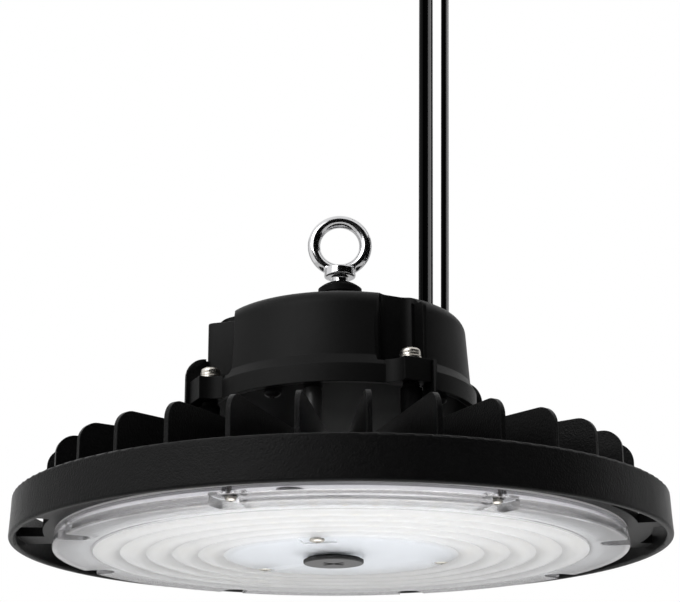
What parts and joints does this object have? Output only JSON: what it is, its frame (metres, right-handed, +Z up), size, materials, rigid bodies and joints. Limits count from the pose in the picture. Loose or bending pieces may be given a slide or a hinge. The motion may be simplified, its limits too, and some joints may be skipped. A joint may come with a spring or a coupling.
{
  "type": "high bay light",
  "caption": "Round high bay light with a finned cast heat sink, a driver housing on stands, a clear ring-prism lens cover, an eye bolt to hang it by and cords up to a ceiling fitting.",
  "frame": {"origin": "centre of the hanging eye's hole", "axes": "+Z up towards the ceiling, +Y along the eye's hole and away from the viewer, +X across to the side where the cords leave"},
  "size_m": [0.32, 0.32, 0.3438],
  "materials": {
    "sink_paint": "coarse dark grey powder coat",
    "housing_paint": "fine dark grey powder coat",
    "closing_plate": "dark grey powder coat",
    "polished_steel": "polished and plated",
    "screw_steel": "zinc plated",
    "black_rubber": "satin black",
    "cord_black": "satin black cord sheath",
    "ceiling_white": "matt white",
    "black_plastic": "matt black",
    "plug_grey": "fine matt dark grey",
    "clear_cover": "clear with ring prisms",
    "led_board_white": "white solder resist",
    "led_phosphor": "yellow phosphor",
    "thermal_grey": "soft grey pad",
    "board_green": "green solder resist",
    "transformer_tape": "yellow tape",
    "capacitor_sleeve": "bright can"
  },
  "bodies": {
    "root": {"heat_sink": "sink_paint", "housing_stands": "sink_paint", "driver_housing": "housing_paint", "driver_base": "closing_plate", "base_gasket": "black_rubber", "base_screws": "screw_steel", "driver_board": "board_green", "driver_transformer": "transformer_tape", "driver_capacitors": "capacitor_sleeve", "housing_screws": "screw_steel", "housing_washers": "screw_steel", "housing_spacers": "black_rubber", "lead_duct": "black_plastic", "eye_bolt": "polished_steel", "boss_cap": "black_rubber", "eye_nut": "screw_steel", "cord_seal": "black_rubber", "mains_cord": "cord_black", "dimming_cord": "cord_black", "ceiling_fitting": "ceiling_white", "led_board": "led_board_white", "led_chips": "led_phosphor", "thermal_pad": "thermal_grey", "lens_cover": "clear_cover", "lens_gasket": "black_rubber", "lens_screws": "screw_steel", "centre_screws": "screw_steel", "breather": "black_plastic", "port_plug": "plug_grey", "plug_seal": "black_rubber"}
  },
  "joints": []
}
